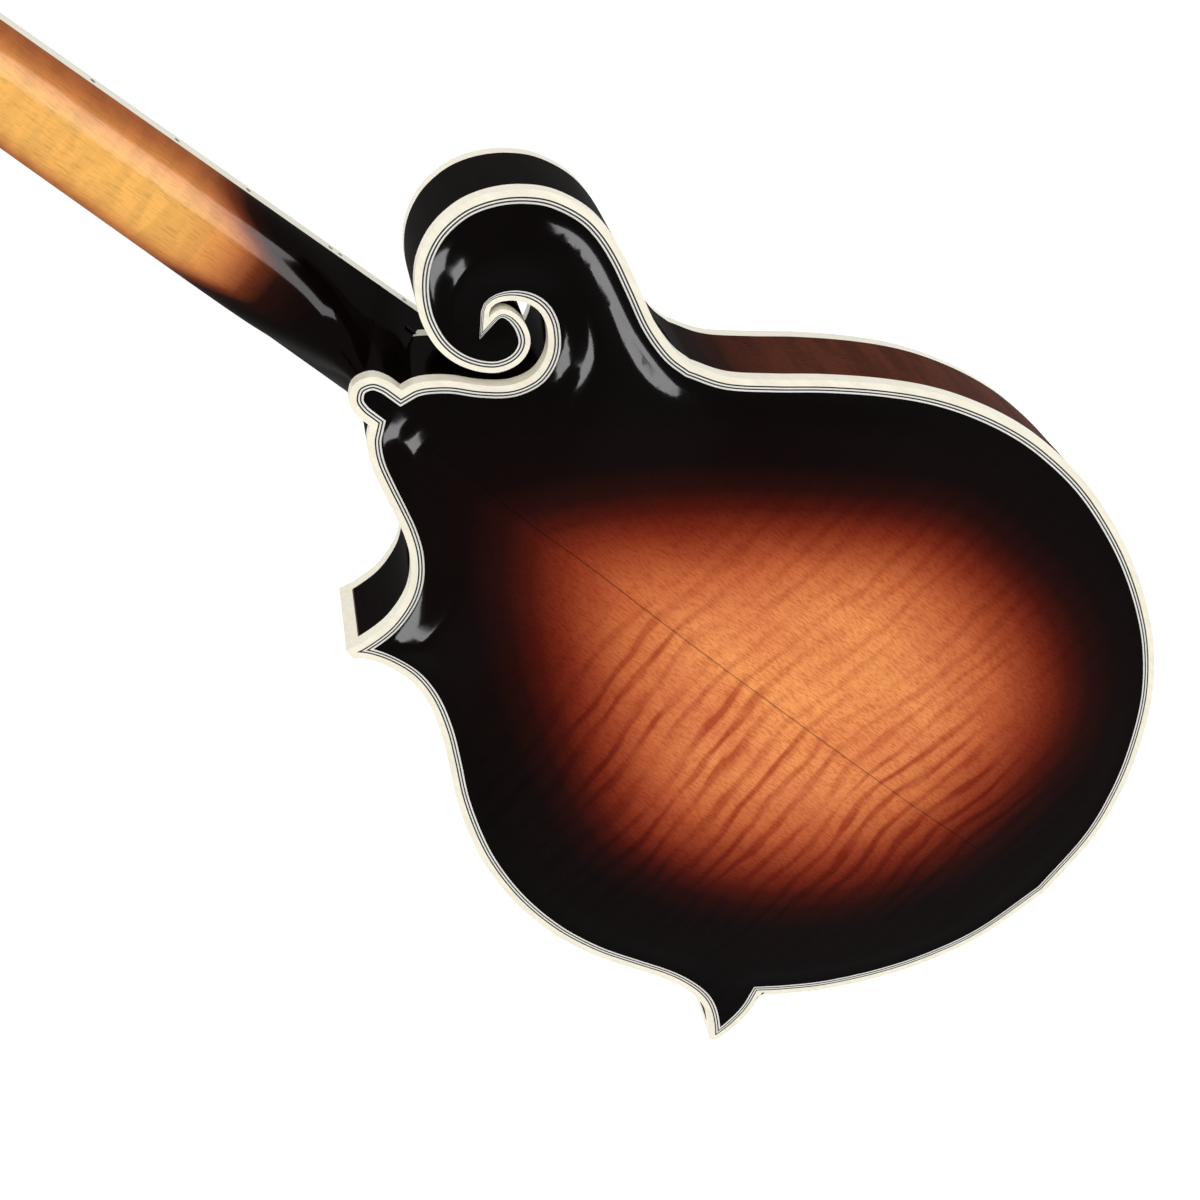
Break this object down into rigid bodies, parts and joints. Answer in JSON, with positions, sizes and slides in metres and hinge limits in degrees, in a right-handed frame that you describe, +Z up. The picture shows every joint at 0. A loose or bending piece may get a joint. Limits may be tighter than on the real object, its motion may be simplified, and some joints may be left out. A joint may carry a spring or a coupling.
{
  "type": "f-style mandolin",
  "caption": "Carved mandolin with a scroll, two body points and f-shaped sound holes, with paired strings, geared tuners and a bridge that thumbwheels raise.",
  "frame": {"origin": "centre of the end pin's flat outer face, at the lowest point of the body", "axes": "+Z up the centre line of the body from the tail towards the neck, +Y towards the back, -Y towards the strings, -X towards the scroll and the low strings"},
  "size_m": [0.259, 0.1174, 0.7024],
  "materials": {
    "flamed_maple": "glossy sunburst lacquer over flamed maple, amber in the middle and nearly black at the edge",
    "rib_maple": "glossy dark brown lacquer over flamed maple",
    "neck_maple": "glossy lacquer, amber fading to black at the heel",
    "spruce_top": "glossy sunburst lacquer over fine straight-grained spruce",
    "bare_spruce": "bare wood, inside",
    "bare_mahogany": "bare wood, inside",
    "ebony": "satin black wood",
    "ivoroid": "polished cream plastic",
    "bone": "polished bone",
    "pearl_button": "pearly plastic",
    "nickel": "bright nickel plate",
    "brass": "plain brass",
    "steel": "plain steel",
    "string_steel": "plain steel wire",
    "string_bronze": "bronze winding on steel wire"
  },
  "bodies": {
    "instrument": {"back_binding": "ivoroid", "back_lining": "bare_spruce", "back_plate": "flamed_maple", "bridge_base": "ebony", "bridge_post_bass": "brass", "bridge_post_treble": "brass", "end_pin": "ebony", "fingerboard": "ebony", "fingerboard_binding": "ivoroid", "lower_point_block": "bare_mahogany", "lower_point_cap": "ivoroid", "neck": "neck_maple", "neck_block": "bare_mahogany", "nut": "bone", "peghead_binding": "ivoroid", "peghead_overlay": "ebony", "rib_garland": "rib_maple", "rib_treble": "rib_maple", "scroll_block": "bare_mahogany", "string_g_outer": "string_bronze", "string_g_inner": "string_bronze", "string_d_outer": "string_bronze", "string_d_inner": "string_bronze", "string_a_outer": "string_steel", "string_a_inner": "string_steel", "string_e_outer": "string_steel", "string_e_inner": "string_steel", "tail_block": "bare_mahogany", "tailpiece_base": "nickel", "tone_bar_bass": "bare_spruce", "tone_bar_treble": "bare_spruce", "top_binding": "ivoroid", "top_lining": "bare_spruce", "top_plate": "spruce_top", "truss_rod": "steel", "truss_rod_cover": "ebony", "tuner_plate_bass": "nickel", "tuner_plate_treble": "nickel", "upper_point_cap": "ivoroid"},
    "saddle": {"bridge_saddle": "ebony"},
    "wheel_bass": {"thumbwheel_bass": "nickel"},
    "wheel_treble": {"thumbwheel_treble": "nickel"},
    "cover": {"tailpiece_cover": "nickel"},
    "truss_nut": {"truss_rod_nut": "brass"},
    "button_1": {"tuner_button_1": "pearl_button"},
    "button_2": {"tuner_button_2": "pearl_button"},
    "button_3": {"tuner_button_3": "pearl_button"},
    "button_4": {"tuner_button_4": "pearl_button"},
    "button_5": {"tuner_button_5": "pearl_button"},
    "button_6": {"tuner_button_6": "pearl_button"},
    "button_7": {"tuner_button_7": "pearl_button"},
    "button_8": {"tuner_button_8": "pearl_button"},
    "post_1": {"string_post_1": "brass"},
    "post_2": {"string_post_2": "brass"},
    "post_3": {"string_post_3": "brass"},
    "post_4": {"string_post_4": "brass"},
    "post_5": {"string_post_5": "brass"},
    "post_6": {"string_post_6": "brass"},
    "post_7": {"string_post_7": "brass"},
    "post_8": {"string_post_8": "brass"}
  },
  "joints": [
    {"name": "saddle_lift", "type": "slide", "parent": "instrument", "child": "saddle", "axis": [0, -1, 0], "range_m": [-0.00118, 0.00118], "deforming": ["string_g_outer", "string_g_inner", "string_d_outer", "string_d_inner", "string_a_outer", "string_a_inner", "string_e_outer", "string_e_inner"]},
    {"name": "wheel_bass_turn", "type": "hinge", "parent": "saddle", "child": "wheel_bass", "pos_m": [-0.0345, -0.0438, 0.196], "axis": [0, -1, 0], "range_deg": [-540, 540]},
    {"name": "wheel_treble_turn", "type": "hinge", "parent": "saddle", "child": "wheel_treble", "pos_m": [0.0345, -0.0438, 0.196], "axis": [0, -1, 0], "range_deg": [-540, 540]},
    {"name": "cover_slide", "type": "slide", "parent": "instrument", "child": "cover", "axis": [0, 0, -1], "range_m": [0, 0.03]},
    {"name": "truss_nut_turn", "type": "hinge", "parent": "instrument", "child": "truss_nut", "pos_m": [0, -0.00146, 0.55309], "axis": [0, 0.1045, 0.9945], "range_deg": [-90, 270]},
    {"name": "button_1_turn", "type": "hinge", "parent": "instrument", "child": "button_1", "pos_m": [-0.021, 0.01672, 0.56576], "axis": [1, 0, 0], "continuous": true},
    {"name": "button_2_turn", "type": "hinge", "parent": "instrument", "child": "button_2", "pos_m": [-0.021, 0.02496, 0.58723], "axis": [1, 0, 0], "continuous": true},
    {"name": "button_3_turn", "type": "hinge", "parent": "instrument", "child": "button_3", "pos_m": [-0.021, 0.0332, 0.60871], "axis": [1, 0, 0], "continuous": true},
    {"name": "button_4_turn", "type": "hinge", "parent": "instrument", "child": "button_4", "pos_m": [-0.021, 0.04145, 0.63018], "axis": [1, 0, 0], "continuous": true},
    {"name": "button_5_turn", "type": "hinge", "parent": "instrument", "child": "button_5", "pos_m": [0.021, 0.04145, 0.63018], "axis": [1, 0, 0], "continuous": true},
    {"name": "button_6_turn", "type": "hinge", "parent": "instrument", "child": "button_6", "pos_m": [0.021, 0.0332, 0.60871], "axis": [1, 0, 0], "continuous": true},
    {"name": "button_7_turn", "type": "hinge", "parent": "instrument", "child": "button_7", "pos_m": [0.021, 0.02496, 0.58723], "axis": [1, 0, 0], "continuous": true},
    {"name": "button_8_turn", "type": "hinge", "parent": "instrument", "child": "button_8", "pos_m": [0.021, 0.01672, 0.56576], "axis": [1, 0, 0], "continuous": true},
    {"name": "post_1_turn", "type": "hinge", "parent": "instrument", "child": "post_1", "pos_m": [-0.021, 0.00336, 0.57924], "axis": [0, 0.9336, -0.3584], "continuous": true},
    {"name": "post_2_turn", "type": "hinge", "parent": "instrument", "child": "post_2", "pos_m": [-0.021, 0.0116, 0.60072], "axis": [0, 0.9336, -0.3584], "continuous": true},
    {"name": "post_3_turn", "type": "hinge", "parent": "instrument", "child": "post_3", "pos_m": [-0.021, 0.01985, 0.62219], "axis": [0, 0.9336, -0.3584], "continuous": true},
    {"name": "post_4_turn", "type": "hinge", "parent": "instrument", "child": "post_4", "pos_m": [-0.021, 0.02809, 0.64366], "axis": [0, 0.9336, -0.3584], "continuous": true},
    {"name": "post_5_turn", "type": "hinge", "parent": "instrument", "child": "post_5", "pos_m": [0.021, 0.02809, 0.64366], "axis": [0, 0.9336, -0.3584], "continuous": true},
    {"name": "post_6_turn", "type": "hinge", "parent": "instrument", "child": "post_6", "pos_m": [0.021, 0.01985, 0.62219], "axis": [0, 0.9336, -0.3584], "continuous": true},
    {"name": "post_7_turn", "type": "hinge", "parent": "instrument", "child": "post_7", "pos_m": [0.021, 0.0116, 0.60072], "axis": [0, 0.9336, -0.3584], "continuous": true},
    {"name": "post_8_turn", "type": "hinge", "parent": "instrument", "child": "post_8", "pos_m": [0.021, 0.00336, 0.57924], "axis": [0, 0.9336, -0.3584], "continuous": true}
  ],
  "couplings": [
    {"joint": "wheel_bass_turn", "follows": "saddle_lift", "rad_per_m": 7953.6},
    {"joint": "wheel_treble_turn", "follows": "saddle_lift", "rad_per_m": 7953.6},
    {"joint": "post_1_turn", "follows": "button_1_turn", "ratio": 0.071429},
    {"joint": "post_2_turn", "follows": "button_2_turn", "ratio": 0.071429},
    {"joint": "post_3_turn", "follows": "button_3_turn", "ratio": 0.071429},
    {"joint": "post_4_turn", "follows": "button_4_turn", "ratio": 0.071429},
    {"joint": "post_5_turn", "follows": "button_5_turn", "ratio": -0.071429},
    {"joint": "post_6_turn", "follows": "button_6_turn", "ratio": -0.071429},
    {"joint": "post_7_turn", "follows": "button_7_turn", "ratio": -0.071429},
    {"joint": "post_8_turn", "follows": "button_8_turn", "ratio": -0.071429}
  ]
}
